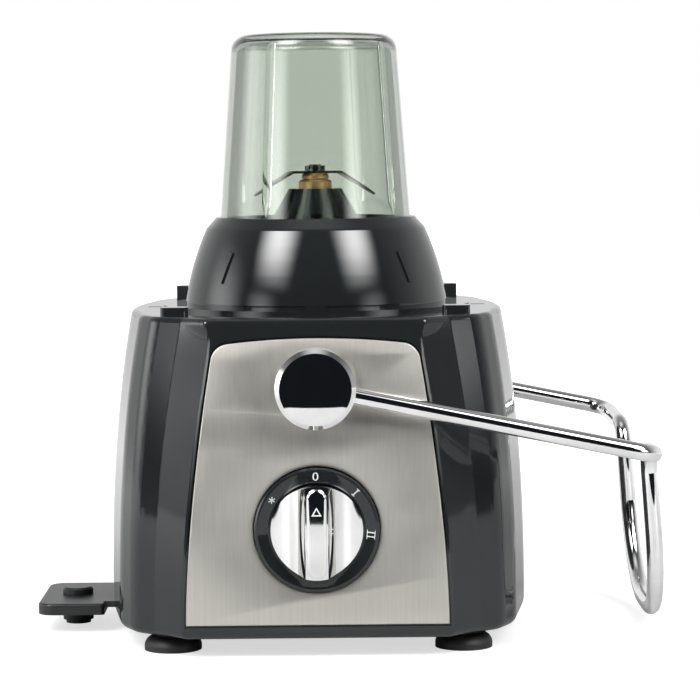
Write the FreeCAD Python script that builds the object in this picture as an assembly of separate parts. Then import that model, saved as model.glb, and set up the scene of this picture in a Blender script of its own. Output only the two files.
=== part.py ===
import FreeCAD, Part
import math
import os

# Centrifugal juicer base with its dry mill fitted: housing, drive, locking handle, speed knob and mill cup.
# Millimetres, +Z up, origin on the table under the drive axis, front towards -Y, handle folded down to +X.

os.makedirs("parts", exist_ok=True)

# ---------------------------------------------------------------- driving dimensions
# Housing, seen in plan as a straight panel, a slanted facet, a round corner post and a flat side
seam_z = 15.0                     # where the housing meets the bottom cover
deck_z = 157.0                    # top of the housing
side_half_base = 102.4            # half width at the seam, at the middle of the side
side_taper = 10.9                 # how much narrower each side is at the deck
side_taper_power = 2.4
side_set_back = 9.0               # the bowed sides are this much narrower at the posts
side_bow_radius = 200.0
facet_side_inset = 26.6           # groove between facet and post, in from the side wall at the seam
facet_width = 13.6                # from that groove to the straight front's edge at the seam
panel_taper = 15.9
panel_taper_power = 1.6
facet_taper = 14.1
front_depth_base = 104.0          # distance of the front face from the axis at the seam
front_lean = 6.0                  # how far the front face leans back at the deck
lean_power = 2.0
facet_depth = 12.0                # set-back of the groove behind the front face
post_depth = 7.5                  # further set-back of the post's shoulder
post_inset = 7.0                  # post shoulder to side wall
post_run = 14.0                   # length of the post's side along Y
front_edge_radius = 3.5
groove_radius = 4.5
post_front_radius = 14.0
post_side_radius = 25.0
wall = 2.6
deck_edge_radius = 3.0
section_count = 7
brow_height = 13.1                # the facets' rounded top ends start this far below the deck
brow_ellipse_height = 14.6
brow_section_count = 5
loft_degree = 3

# Deck
platform_radius = 75.5
platform_height = 1.5
recess_radius = 57.0
recess_depth = 0.6                # below the deck
neck_radius = 15.0
neck_height = 5.0                 # above the deck
hook_inner_radius = 68.5
hook_outer_radius = 75.0
hook_height = 9.0
hook_lip_radius = 65.2
hook_lip_thickness = 2.6
hook_span_deg = 20.0
hook_start_deg = 20.0
pad_width = 13.0
pad_length = 10.0
pad_height = 4.0
pad_side_inset = 25.5             # pad's middle in from the side wall
pad_front_inset = 27.0
slot_side_inset = 11.9            # interlock slot's middle in from the side wall
slot_width = 7.0
slot_length = 4.0

# Bottom cover, screws and feet
cover_height = 6.0
cover_plate = 2.4
cover_edge_radius = 4.6
lip_height = 3.0
lip_thickness = 1.6
vent_count = 11
vent_width = 3.2
vent_pitch = 7.4
vent_reach = 40.0
foot_side_inset = 33.9            # foot's centre in from the side wall
foot_front_inset = 30.0
foot_radius = 13.5
foot_rim = 2.6
foot_neck_radius = 8.0
foot_stem_radius = 3.5
pillar_side_inset = 24.4
pillar_front_inset = 56.0
pillar_radius = 5.0
pilot_radius = 1.8
screw_radius = 1.75
screw_head_radius = 3.6
screw_head_height = 2.2
screw_length = 16.0

# Steel front panel
panel_bottom_z = 15.8
panel_top_margin = 12.4           # from the panel's top corners to the deck
panel_crown = 3.2                 # rise of the arched top edge at the middle
panel_thickness = 1.2
panel_proud = 0.3
panel_gap = 0.9                   # groove round the panel
panel_corner_radius = 9.0
panel_side_margin = 1.4           # from the panel's edge to the front face's edge

# Handle
pivot_z = 125.6
rod_radius = 4.0
arm_reach = 154.5
corner_z = 94.0
leg_half_gap = 55.0
leg_top_x = 157.5
leg_top_z = 90.0
loop_bottom_x = 163.5
loop_bottom_z = 7.5
corner_bend_radius = 11.0
leg_bend_radius = 12.0
loop_bend_radius = 44.0
cap_radius = 18.5
cap_thickness = 15.6
cap_bevel = 2.0
cap_crown = 1.3                   # rise of the cap's domed face
rod_socket_depth = 8.0
pin_radius = 5.0
pin_head_radius = 8.0
pin_head_thickness = 2.5
pivot_bush_radius = 9.0
pivot_bush_flange_radius = 13.0
pivot_boss_radius = 14.0
pivot_boss_length = 8.0

# Speed knob, dial ring and switch
knob_z = 60.0
dial_radius = 28.8
dial_seat_depth = 1.5             # from the front face down to the flat floor the dial ring sits on
dial_floor = 1.5
dial_rim = 4.6
dial_inner_rim = 3.2
knob_radius = 21.2
knob_height = 15.5
knob_skirt = 2.6
grip_width = 9.3
scoop_radius = 16.0
grip_edge_radius = 1.6
switch_boss_radius = 32.0
switch_boss_length = 8.0
switch_width = 36.0
switch_height = 30.0
switch_depth = 20.0
switch_neck_radius = 5.0
spindle_radius = 3.0
terminal_count = 5

# Motor
shaft_radius = 4.0
shaft_bottom_z = 22.0
stack_bottom_z = 78.0
stack_top_z = 118.0
stack_width = 84.0
stack_round_radius = 50.0
stack_bore_radius = 26.0
armature_radius = 25.3
armature_slots = 12
armature_slot_width = 3.0
armature_slot_depth = 7.0
winding_radius = 22.5
winding_height = 7.0
coil_inner_radius = 28.0
coil_outer_radius = 38.0
coil_height = 9.0
coil_span_deg = 110.0
commutator_radius = 13.0
commutator_bottom_z = 56.0
commutator_top_z = 69.0
commutator_bars = 12
bearing_outer_radius = 11.0
bearing_width = 7.0
bearing_cup_radius = 14.0
lower_plate_z = 50.0
upper_plate_drop = 16.0           # from the deck down to the upper bracket
bracket_plate = 3.0
upper_plate_width = 104.0
lower_plate_width = 80.0
bracket_leg_radius = 5.0
bolt_offset = 31.0
bolt_radius = 2.0
mount_offset = 43.0
grommet_radius = 7.0
grommet_height = 5.0
mount_boss_radius = 5.5
brush_width = 6.0
brush_height = 8.0
brush_length = 14.0
holder_wall = 1.5
holder_length = 24.0
holder_gap = 2.5                  # from the commutator to the holder
fan_radius = 42.0
fan_hub_radius = 9.0
fan_blades = 9
fan_bottom_z = 26.0
fan_height = 12.0
fan_disc = 1.6
seal_radius = 11.0
seal_height = 6.0

# Drive coupling
coupling_radius = 17.0
coupling_hub_height = 4.5
coupling_lift = 1.5               # above the deck's neck
dog_count = 4
dog_inner_radius = 8.0
dog_outer_radius = 16.0
dog_span_deg = 40.0
dog_height = 8.0
dog_end_gap = 0.6
driven_disc = 4.0

# Mill base
ring_radius = 64.0
ring_height = 1.9
skirt_bottom_radius = 64.4
skirt_middle_radius = 60.4
skirt_middle_height = 19.5        # heights of the mill base count from the platform it stands on
shoulder_height = 37.0
shoulder_radius = 53.9
collar_height = 42.5
collar_wall = 2.6
tab_count = 3
tab_span_deg = 9.0
tab_reach = 1.8
grip_mark_count = 4
grip_mark_length = 15.0
grip_mark_width = 2.8
grip_mark_proud = 1.0
grip_mark_tilt_deg = 14.0
mill_floor_height = 40.5
cone_base_radius = 22.0
cone_top_radius = 13.1
cone_height = 15.8                # above the mill's floor
hub_drop = 13.0                   # below the mill's floor
hub_wall_radius = 13.0
bush_radius = 8.1
bush_proud = 4.2                  # above the cone
groove_depth = 7.0
seal_ring_height = 1.6

# Blades
blade_spindle_radius = 3.0
blade_lift = 3.2                  # above the bushing
blade_thickness = 1.2
blade_width = 10.0
blade_flat_half = 12.0
blade_reach = 31.0
blade_drop = 11.0
blade_turn_deg = 14.0
spacer_radius = 6.7
nut_radius = 4.2
nut_height = 2.6
nut_teeth = 9
spindle_tip = 0.6

# Mill cup
cup_rim_radius = 46.6
cup_shoulder_radius = 40.6
cup_shoulder_drop = 7.0           # below the cup's top
cup_top_z = 290.0
cup_corner_radius = 7.5
cup_wall = 2.8
cup_end_wall = 4.2
rib_count = 4
rib_start_deg = -122.0
rib_radius = 2.6
rib_start_height = 9.0            # above the mill's floor
rib_point_length = 7.0
lug_count = 4
lug_span_deg = 16.0
lug_reach = 1.4
lug_height = 2.2
lug_lift = 1.0                    # above the cup's rim
cup_turn_deg = 30.0

# Side shelf for the pulp container
shelf_length = 32.6
shelf_side_gap = 2.2              # from the housing's side to the plate
shelf_half_length = 32.5
shelf_drop = 0.6                  # from the housing's seam down to the shelf's face
shelf_thickness = 5.5
shelf_corner_radius = 8.0
tongue_half_length = 25.0
tongue_depth = 17.8               # how far the tongue reaches in under the housing
tongue_screw_inset = 6.0
stud_inset = 17.0                 # from the plate's outer end
stud_seat_depth = 0.8
stud_neck_radius = 7.2            # in the seat and just above it, so that a sleeve clears the plate
stud_neck_rise = 0.2
stud_radius = 7.5
stud_height = 3.5
stud_edge = 1.0
stem_end_z = 7.0
shelf_foot_radius = 7.5
shelf_foot_tip_radius = 6.15
shelf_foot_tip = 1.7
shelf_stem_radius = 3.0

# Cord gland and safety plunger
gland_x = 45.0
gland_z = 30.0
gland_radius = 6.0
gland_flange_radius = 8.5
gland_bore_radius = 3.6
gland_length = 12.0
plunger_collar = 2.0
plunger_play = 4.0                # from the switch's button to the plunger
microswitch_height = 11.0
microswitch_drop = 30.0           # from the deck down to the switch's shelf
button_height = 1.6

# Clearances
running_gap = 0.05                # shaft in its bearing
fit_gap = 0.05                    # fixed piece in its seat
clear_gap = 0.35                  # moving piece beside a fixed one


# ---------------------------------------------------------------- drawing helpers
def flat_xy(x, y):
    return FreeCAD.Vector(x, y, 0)


def flat_xz(x, z):
    return FreeCAD.Vector(x, 0, z)


def closed_wire(points, place):
    """Closed wire through (u, v) points; (u, v, mu, mv) is reached by an arc through (mu, mv)."""
    edges = []
    start = place(*points[-1][:2])
    for point in points:
        end = place(*point[:2])
        if len(point) == 4:
            edges.append(Part.Arc(start, place(*point[2:]), end).toShape())
        else:
            edges.append(Part.makeLine(start, end))
        start = end
    return Part.Wire(edges)


def turned_z(points, x=0.0, y=0.0):
    """Solid of revolution about a vertical axis from (radius, z) points."""
    face = Part.Face(closed_wire(points, flat_xz))
    solid = face.revolve(FreeCAD.Vector(0, 0, 0), FreeCAD.Vector(0, 0, 1), 360)
    solid.translate(FreeCAD.Vector(x, y, 0))
    return solid


def turned_y(points, z, facing=-1):
    """Solid of revolution about an axis along Y from (radius, distance from the drive axis) points."""
    face = Part.Face(closed_wire(points, lambda radius, reach: FreeCAD.Vector(radius, facing * reach, 0)))
    solid = face.revolve(FreeCAD.Vector(0, 0, 0), FreeCAD.Vector(0, 1, 0), 360)
    solid.translate(FreeCAD.Vector(0, 0, z))
    return solid


def rod_z(radius, bottom, top, x=0.0, y=0.0):
    return Part.makeCylinder(radius, top - bottom, FreeCAD.Vector(x, y, bottom))


def rod_y(radius, near, far, x, z, facing=-1):
    """Cylinder along Y between two distances from the drive axis, at the front or the rear."""
    start = FreeCAD.Vector(x, facing * near, z)
    return Part.makeCylinder(radius, far - near, start, FreeCAD.Vector(0, facing, 0))


def block(x_low, x_high, y_low, y_high, z_low, z_high):
    corner = FreeCAD.Vector(x_low, y_low, z_low)
    return Part.makeBox(x_high - x_low, y_high - y_low, z_high - z_low, corner)


def rounded_block(x_low, x_high, y_low, y_high, z_low, z_high, radius):
    """Block with its four upright edges rounded."""
    corners = [
        (x_low, y_low, radius), (x_high, y_low, radius), (x_high, y_high, radius), (x_low, y_high, radius),
    ]
    return Part.Face(rounded_wire(corners, z_low)).extrude(FreeCAD.Vector(0, 0, z_high - z_low))


def sector(inner, outer, bottom, top, start_deg, span_deg):
    """Part of a ring about the drive axis."""
    ring = rod_z(outer, bottom, top).cut(rod_z(inner, bottom - 1, top + 1))
    start = FreeCAD.Vector(0, 0, bottom)
    wedge = Part.makeCylinder(outer + 1, top - bottom, start, FreeCAD.Vector(0, 0, 1), span_deg)
    wedge.rotate(FreeCAD.Vector(0, 0, 0), FreeCAD.Vector(0, 0, 1), start_deg)
    return ring.common(wedge)


def turned_copies(shape, count, step_deg=None):
    """The shape and its copies turned about the drive axis."""
    step = 360.0 / count if step_deg is None else step_deg
    copies = []
    for index in range(count):
        copy = shape.copy()
        copy.rotate(FreeCAD.Vector(0, 0, 0), FreeCAD.Vector(0, 0, 1), index * step)
        copies.append(copy)
    return copies


def four_corners(x, y):
    return [(sx * x, sy * y) for sx in (-1, 1) for sy in (-1, 1)]


def tangent_arc(before, here, after, radius):
    """Start, middle and end of the arc that rounds the corner at here."""
    back = (before - here).normalize()
    ahead = (after - here).normalize()
    half = back.getAngle(ahead) / 2
    setback = radius / math.tan(half)
    bisector = (back + ahead).normalize()
    middle = here + bisector * (radius / math.sin(half) - radius)
    return here + back * setback, middle, here + ahead * setback


def rounded_wire(corners, z):
    """Closed wire at one height; each (x, y, radius) corner is rounded by a tangent arc."""
    spots = [FreeCAD.Vector(x, y, z) for x, y, radius in corners]
    count = len(corners)
    arcs = []
    for index, corner in enumerate(corners):
        arcs.append(tangent_arc(spots[index - 1], spots[index], spots[(index + 1) % count], corner[2]))
    edges = []
    for index, (start, middle, end) in enumerate(arcs):
        edges.append(Part.makeLine(arcs[index - 1][2], start))
        edges.append(Part.Arc(start, middle, end).toShape())
    return Part.Wire(edges)


def bent_wire(points, radii):
    """Open wire through 3-D points, with an arc at each inner point."""
    edges = []
    start = points[0]
    for index, radius in enumerate(radii, 1):
        arc_start, middle, arc_end = tangent_arc(points[index - 1], points[index], points[index + 1], radius)
        edges.append(Part.makeLine(start, arc_start))
        edges.append(Part.Arc(arc_start, middle, arc_end).toShape())
        start = arc_end
    edges.append(Part.makeLine(start, points[-1]))
    return Part.Wire(edges)


def save(node, *solids):
    """One STEP file for the node; several solids stay separate in it."""
    shape = solids[0] if len(solids) == 1 else Part.makeCompound(list(solids))
    shape.exportStep("parts/" + node + ".step")


# ---------------------------------------------------------------- the housing's plan at any height
facet_half_base = side_half_base - facet_side_inset
panel_half_base = facet_half_base - facet_width


def height_share(z):
    return min(max((z - seam_z) / (deck_z - seam_z), 0.0), 1.0)


def side_half(z):
    return side_half_base - side_taper * height_share(z) ** side_taper_power


def panel_half(z):
    return panel_half_base - panel_taper * height_share(z) ** panel_taper_power


def facet_half(z):
    return facet_half_base - facet_taper * height_share(z) ** lean_power


def front_depth(z):
    return front_depth_base - front_lean * height_share(z) ** lean_power


def front_half(z):
    """Half width of the front face: it follows the panel and spreads out over the facet's rounded top end."""
    rise = max(z - (deck_z - brow_height), 0.0) / brow_ellipse_height
    spread = 1.0 - math.sqrt(1.0 - min(rise, 1.0) ** 2)
    return panel_half(z) + (facet_half(z) - panel_half(z)) * spread


def plan_quarter(z):
    """Corners (x, depth, radius) from the front face's edge round to the side wall."""
    depth = front_depth(z)
    groove = depth - facet_depth
    shoulder = groove - post_depth
    post_side = side_half(z) - side_set_back
    return [
        (front_half(z), depth, front_edge_radius),
        (facet_half(z), groove, -groove_radius),
        (post_side - post_inset, shoulder, post_front_radius),
        (post_side, shoulder - post_run, post_side_radius),
    ]


def bow_corner(z):
    """Where a bowed side's straight halves would meet, so that its arc reaches the half width."""
    post_depth_here = front_depth(z) - facet_depth - post_depth - post_run
    lean = math.atan(side_set_back / post_depth_here)
    return side_half(z) + side_bow_radius * (1 / math.cos(lean) - 1)


def plan_corners(z):
    """All corners of the plan, counter-clockwise from the front's right edge; hollow corners negative."""
    quarter = plan_quarter(z)
    right_front = [(x, -y, r) for x, y, r in quarter]
    right_rear = [(x, y, r) for x, y, r in reversed(quarter)]
    left_rear = [(-x, y, r) for x, y, r in quarter]
    left_front = [(-x, -y, r) for x, y, r in reversed(quarter)]
    right_bow = [(bow_corner(z), 0, side_bow_radius)]
    left_bow = [(-bow_corner(z), 0, side_bow_radius)]
    return right_front + right_bow + right_rear + left_rear + left_bow + left_front


def inset_corners(corners, inset):
    """The same outline moved inwards by a parallel distance."""
    moved = []
    count = len(corners)
    for index, (x, y, radius) in enumerate(corners):
        here = FreeCAD.Vector(x, y, 0)
        before = here - FreeCAD.Vector(*corners[index - 1][:2], 0)
        after = FreeCAD.Vector(*corners[(index + 1) % count][:2], 0) - here
        normal_before = FreeCAD.Vector(-before.y, before.x, 0).normalize()
        normal_after = FreeCAD.Vector(-after.y, after.x, 0).normalize()
        bisector = (normal_before + normal_after).normalize()
        step = inset / bisector.dot(normal_before)
        new_radius = max(radius - inset, 0.4) if radius > 0 else radius - inset
        spot = here + bisector * step
        moved.append((spot.x, spot.y, new_radius))
    return moved


def plan_wire(z, inset=0.0, at=None):
    corners = inset_corners(plan_corners(z), inset) if inset else plan_corners(z)
    return rounded_wire([(x, y, abs(r)) for x, y, r in corners], z if at is None else at)


def barrel(bottom, top, inset=0.0, straight=False):
    """Solid through plan sections between two heights, smooth or straight from section to section."""
    brow_z = deck_z - brow_height
    step = (brow_z - bottom) / (section_count - 1)
    heights = [bottom + index * step for index in range(section_count)]
    brow_step = (top - brow_z) / (brow_section_count - 1)
    heights += [brow_z + index * brow_step for index in range(1, brow_section_count)]
    return Part.makeLoft([plan_wire(z, inset) for z in heights], True, straight, False, loft_degree)


def front_slab(outer, inner, bottom, top, half_width):
    """Layer that follows the leaning front face, from one offset in front of it to another behind it."""
    count = section_count + 2
    heights = [bottom + (top - bottom) * index / (count - 1) for index in range(count)]
    front = Part.BSplineCurve()
    front.interpolate([FreeCAD.Vector(-half_width, -front_depth(z) - outer, z) for z in heights])
    back = Part.BSplineCurve()
    back.interpolate([FreeCAD.Vector(-half_width, -front_depth(z) - inner, z) for z in heights])
    edges = [
        front.toShape(),
        Part.makeLine(front.EndPoint, back.EndPoint),
        back.toShape(),
        Part.makeLine(back.StartPoint, front.StartPoint),
    ]
    return Part.Face(Part.Wire(edges)).extrude(FreeCAD.Vector(2 * half_width, 0, 0))


# ---------------------------------------------------------------- shared levels worked out from the sizes
pivot_face = front_depth(pivot_z)             # front face at the pivot
bush_seat = pivot_face - panel_thickness + panel_proud
bush_end = pivot_face - wall - pivot_boss_length
cap_back = front_depth(pivot_z - cap_radius) + panel_proud + clear_gap
cap_front = cap_back + cap_thickness
knob_face = front_depth(knob_z)
dial_seat = knob_face - dial_seat_depth
knob_back = dial_seat + dial_floor + clear_gap
knob_front = knob_back + knob_height
switch_front = knob_face - wall - switch_boss_length
panel_corner_z = deck_z - panel_top_margin
arm_y = cap_back + cap_thickness / 2
neck_top = deck_z + neck_height
platform_top = deck_z + platform_height
pad_x = side_half(deck_z) - pad_side_inset
pad_y = front_depth(deck_z) - pad_front_inset
slot_x = side_half(deck_z) - slot_side_inset
foot_x = side_half_base - foot_side_inset
foot_y = front_depth_base - foot_front_inset
pillar_x = side_half_base - pillar_side_inset
pillar_y = front_depth_base - pillar_front_inset
shelf_start_x = -side_half_base - shelf_side_gap
shelf_end_x = shelf_start_x - shelf_length
tongue_end_x = -side_half_base + tongue_depth
stud_x = shelf_end_x + stud_inset
upper_plate_z = deck_z - upper_plate_drop
mount_boss_bottom = upper_plate_z + bracket_plate + grommet_height
lower_bearing_z = lower_plate_z - 5.0
upper_bearing_z = upper_plate_z - bearing_width + 0.5
coupling_bottom_z = neck_top + coupling_lift
dog_bottom_z = coupling_bottom_z + coupling_hub_height
driven_z = dog_bottom_z + dog_height + dog_end_gap
cover_z = seam_z - cover_height
shelf_top_z = seam_z - shelf_drop
cover_inside_z = cover_z + cover_plate
microswitch_floor_z = deck_z - microswitch_drop
button_top_z = microswitch_floor_z + microswitch_height + button_height
skirt_middle_z = platform_top + skirt_middle_height
shoulder_z = platform_top + shoulder_height
collar_top_z = platform_top + collar_height
mill_floor_z = platform_top + mill_floor_height
hub_bottom_z = mill_floor_z - hub_drop
cone_top_z = mill_floor_z + cone_height
bush_top_z = cone_top_z + bush_proud
blade_z = bush_top_z + blade_lift
groove_floor_z = mill_floor_z - groove_depth
cup_rim_z = groove_floor_z + seal_ring_height
lug_z = cup_rim_z + lug_lift
rib_bottom_z = mill_floor_z + rib_start_height
cup_shoulder_z = cup_top_z - cup_shoulder_drop
arm_angle = math.atan2(pivot_z - corner_z, arm_reach)


# ---------------------------------------------------------------- housing
def panel_prism(grow):
    """Front-to-back prism of the panel's outline, grown outwards for its recess."""
    low = panel_bottom_z - grow
    high = panel_corner_z + grow
    heights = [low + (high - low) * index / 4 for index in range(5)]
    start_y = -2 * front_depth_base
    halves = [panel_half(z) - panel_side_margin + grow for z in heights]
    right = Part.BSplineCurve()
    right.interpolate([FreeCAD.Vector(half, start_y, z) for half, z in zip(halves, heights)])
    left = Part.BSplineCurve()
    left.interpolate([FreeCAD.Vector(-half, start_y, z) for half, z in zip(halves, heights)])
    crown = FreeCAD.Vector(0, start_y, high + panel_crown)
    edges = [
        Part.makeLine(left.StartPoint, right.StartPoint),
        right.toShape(),
        Part.Arc(right.EndPoint, crown, left.EndPoint).toShape(),
        left.toShape(),
    ]
    prism = Part.Face(Part.Wire(edges)).extrude(FreeCAD.Vector(0, 2 * front_depth_base, 0))
    corner_edges = []
    for edge in prism.Edges:
        box = edge.BoundBox
        if box.YLength > front_depth_base and box.ZMin > high - 1:
            corner_edges.append(edge)
    return prism.makeFillet(panel_corner_radius + grow, corner_edges)


def pivot_pocket(facing, floor):
    """Round pocket that a pivot bushing's flange sits in."""
    return rod_y(pivot_bush_flange_radius + clear_gap, floor, pivot_face + 5, 0, pivot_z, facing)


def front_steel_panel():
    back = panel_proud - panel_thickness
    slab = front_slab(panel_proud, back, seam_z - 2, deck_z - 2, panel_half_base)
    panel = slab.common(panel_prism(0))
    panel = panel.cut(rod_y(dial_radius + clear_gap, dial_seat - 2, knob_face + 5, 0, knob_z))
    return panel.cut(pivot_pocket(-1, bush_seat - 3))


def panel_recess():
    back = panel_proud - panel_thickness
    return front_slab(6, back, seam_z - 2, deck_z - 2, panel_half_base).common(panel_prism(panel_gap))


def hook(start_deg):
    """Upright wall with an inward lip that catches a bowl's rim."""
    top = deck_z + hook_height
    upright = sector(hook_inner_radius, hook_outer_radius, deck_z, top, start_deg, hook_span_deg)
    lip_bottom = top - hook_lip_thickness
    lip = sector(hook_lip_radius, hook_inner_radius, lip_bottom, top, start_deg, hook_span_deg)
    return upright.fuse(lip)


def pads():
    solids = []
    for side in (-1, 1):
        x = side * pad_x
        low_x, high_x = x - pad_width / 2, x + pad_width / 2
        low_y, high_y = -pad_y - pad_length / 2, -pad_y + pad_length / 2
        solids.append(rounded_block(low_x, high_x, low_y, high_y, deck_z - 1, deck_z + pad_height, 3.0))
    return solids


def interlock_slot(side, grow=0.0):
    half_w = slot_width / 2 + grow
    half_l = slot_length / 2 + grow
    x = side * slot_x
    return block(x - half_w, x + half_w, -half_l, half_l, deck_z - 10, deck_z + platform_height + 1)


def upper_housing():
    body = barrel(seam_z, deck_z)
    top_edges = [edge for edge in body.Edges if edge.BoundBox.ZMin > deck_z - 0.01]
    body = body.makeFillet(deck_edge_radius, top_edges)
    body = body.cut(barrel(seam_z, deck_z - wall, wall, True))
    under_deck = deck_z - wall / 2
    adds = [rod_z(platform_radius, under_deck, platform_top), rod_z(neck_radius, under_deck - wall, neck_top)]
    adds += [hook(hook_start_deg), hook(180 - hook_start_deg - hook_span_deg)]
    adds += pads()
    for x, y in four_corners(pillar_x, pillar_y):
        adds.append(rod_z(pillar_radius, seam_z, under_deck, x, y))
    for x, y in four_corners(mount_offset, mount_offset):
        adds.append(rod_z(mount_boss_radius, mount_boss_bottom, under_deck, x, y))
    adds.append(rod_y(switch_boss_radius, switch_front, knob_face - wall / 2, 0, knob_z))
    for facing in (-1, 1):
        adds.append(rod_y(pivot_boss_radius, bush_end, pivot_face - wall / 2, 0, pivot_z, facing))
    shelf_wall = side_half(microswitch_floor_z) - wall / 2
    adds.append(block(-shelf_wall, -slot_x + 9, -9, 9, microswitch_floor_z - wall, microswitch_floor_z))
    for solid in adds:
        body = body.fuse(solid)
    body = body.cut(rod_z(recess_radius, deck_z - recess_depth, platform_top + 1).cut(
        rod_z(neck_radius, deck_z - 2, platform_top + 2)))
    seal_seat = neck_top - seal_height
    body = body.cut(rod_z(seal_radius + fit_gap, seal_seat, neck_top + 1))
    body = body.cut(rod_z(shaft_radius + 2, deck_z - 3 * wall, seal_seat + 1))
    body = body.cut(interlock_slot(-1)).cut(interlock_slot(1))
    body = body.cut(panel_recess())
    body = body.cut(rod_y(dial_radius + fit_gap, dial_seat, knob_face + 5, 0, knob_z))
    body = body.cut(rod_y(switch_neck_radius + clear_gap, switch_front - 1, dial_seat + 1, 0, knob_z))
    for facing in (-1, 1):
        body = body.cut(pivot_pocket(facing, bush_seat))
        body = body.cut(rod_y(pivot_bush_radius + fit_gap, bush_end - 1, bush_seat + 1, 0, pivot_z, facing))
    for x, y in four_corners(pillar_x, pillar_y):
        body = body.cut(rod_z(pilot_radius, seam_z - 1, cover_z + screw_length + 1, x, y))
    for x, y in four_corners(mount_offset, mount_offset):
        body = body.cut(rod_z(pilot_radius, mount_boss_bottom - 1, mount_boss_bottom + 4.5, x, y))
    gland_start = front_depth(gland_z) - 3 * wall
    return body.cut(rod_y(gland_radius + fit_gap, gland_start, front_depth_base + wall, gland_x, gland_z, 1))


def bottom_cover():
    outer = Part.Face(plan_wire(seam_z, 0, cover_z)).extrude(FreeCAD.Vector(0, 0, cover_height))
    lower_edges = [edge for edge in outer.Edges if edge.BoundBox.ZMax < cover_z + 0.01]
    body = outer.makeFillet(cover_edge_radius, lower_edges)
    inside = Part.Face(plan_wire(seam_z, wall + 2, cover_inside_z))
    body = body.cut(inside.extrude(FreeCAD.Vector(0, 0, cover_height)))
    lip_outer = Part.Face(plan_wire(seam_z, wall + fit_gap * 4, seam_z - 1)).extrude(
        FreeCAD.Vector(0, 0, lip_height + 1))
    lip_inner = Part.Face(plan_wire(seam_z, wall + lip_thickness, seam_z - 2)).extrude(
        FreeCAD.Vector(0, 0, lip_height + 3))
    body = body.fuse(lip_outer.cut(lip_inner))
    for x, y in four_corners(pillar_x, pillar_y):
        body = body.fuse(rod_z(pillar_radius, cover_z + 1, seam_z, x, y))
        body = body.cut(rod_z(pillar_radius + fit_gap, seam_z, seam_z + lip_height + 1, x, y))
    for x, y in four_corners(pillar_x, pillar_y):
        body = body.cut(rod_z(screw_radius + 0.3, cover_z - 1, seam_z + 1, x, y))
        body = body.cut(rod_z(screw_head_radius + 0.4, cover_z - 1, cover_z + screw_head_height, x, y))
    for x, y in four_corners(foot_x, foot_y):
        body = body.cut(rod_z(foot_stem_radius + fit_gap, cover_z - 1, seam_z, x, y))
    for index in range(vent_count):
        y = (index - (vent_count - 1) / 2) * vent_pitch
        half = math.sqrt(max(vent_reach ** 2 - y ** 2, 0))
        if half > vent_width:
            reach = vent_width / 2
            vent = rounded_block(-half, half, y - reach, y + reach, cover_z - 1, seam_z, reach - 0.01)
            body = body.cut(vent)
    notch_y = tongue_half_length + fit_gap * 4
    body = body.cut(block(-side_half_base - 5, -side_half_base + wall + 5, -notch_y, notch_y,
                          cover_inside_z, seam_z + lip_height + 1))
    for y in (-tongue_half_length / 2, tongue_half_length / 2):
        body = body.cut(rod_z(screw_radius + 0.3, cover_z - 1, seam_z, tongue_end_x - tongue_screw_inset, y))
    return body


def bottom_screws():
    solids = []
    for x, y in four_corners(pillar_x, pillar_y):
        head = rod_z(screw_head_radius, cover_z + 0.2, cover_z + screw_head_height, x, y)
        solids.append(head.fuse(rod_z(screw_radius, cover_z + 1, cover_z + screw_length, x, y)))
    return solids


def foot(x, y):
    """Rubber suction foot with a hollow underside and a push-in stem."""
    sole = foot_radius - 2.5
    return turned_z([
        (0, 1.6), (sole, 0), (foot_radius, 0), (foot_radius, foot_rim),
        (foot_neck_radius, foot_rim + 4.4, foot_neck_radius + 3.6, foot_rim + 3.1),
        (foot_neck_radius, cover_z), (foot_stem_radius, cover_z), (foot_stem_radius, cover_inside_z + 1.6),
        (0, cover_inside_z + 1.6),
    ], x, y)


def cord_gland():
    face = front_depth(gland_z - gland_flange_radius) + fit_gap
    bush = rod_y(gland_radius, face - gland_length, face + 1, gland_x, gland_z, 1)
    flange = rod_y(gland_flange_radius, face, face + 2, gland_x, gland_z, 1)
    bore = rod_y(gland_bore_radius, face - gland_length - 1, face + 3, gland_x, gland_z, 1)
    return bush.fuse(flange).cut(bore)


# ---------------------------------------------------------------- handle
def pivot_bushing(facing):
    body = turned_y([
        (pin_radius + running_gap, bush_end), (pivot_bush_radius, bush_end), (pivot_bush_radius, bush_seat),
        (pivot_bush_flange_radius, bush_seat), (pivot_bush_flange_radius, cap_back - clear_gap),
        (pin_radius + running_gap, cap_back - clear_gap),
    ], pivot_z, facing)
    return body


def pivot_pin(facing):
    head = bush_end - 0.5
    return turned_y([
        (0, head - pin_head_thickness), (pin_head_radius, head - pin_head_thickness), (pin_head_radius, head),
        (pin_radius, head), (pin_radius, cap_back + 6), (0, cap_back + 6),
    ], pivot_z, facing)


def arm_direction():
    return FreeCAD.Vector(math.cos(arm_angle), 0, -math.sin(arm_angle))


def pivot_cap(facing):
    face_radius = cap_radius - cap_bevel
    face_edge = cap_front - cap_crown
    dome_radius = (face_radius ** 2 + cap_crown ** 2) / (2 * cap_crown)
    half_turn = math.asin(face_radius / dome_radius) / 2
    middle = (dome_radius * math.sin(half_turn), cap_front - dome_radius * (1 - math.cos(half_turn)))
    body = turned_y([
        (pin_radius + fit_gap, cap_back), (cap_radius - 1, cap_back), (cap_radius, cap_back + 1),
        (cap_radius, face_edge - cap_bevel), (face_radius, face_edge), (0, cap_front, *middle),
        (0, cap_back + 6 + fit_gap), (pin_radius + fit_gap, cap_back + 6 + fit_gap),
    ], pivot_z, facing)
    centre = FreeCAD.Vector(0, facing * arm_y, pivot_z)
    start = centre + arm_direction() * (cap_radius - rod_socket_depth)
    return body.cut(Part.makeCylinder(rod_radius + fit_gap, cap_radius, start, arm_direction()))


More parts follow.
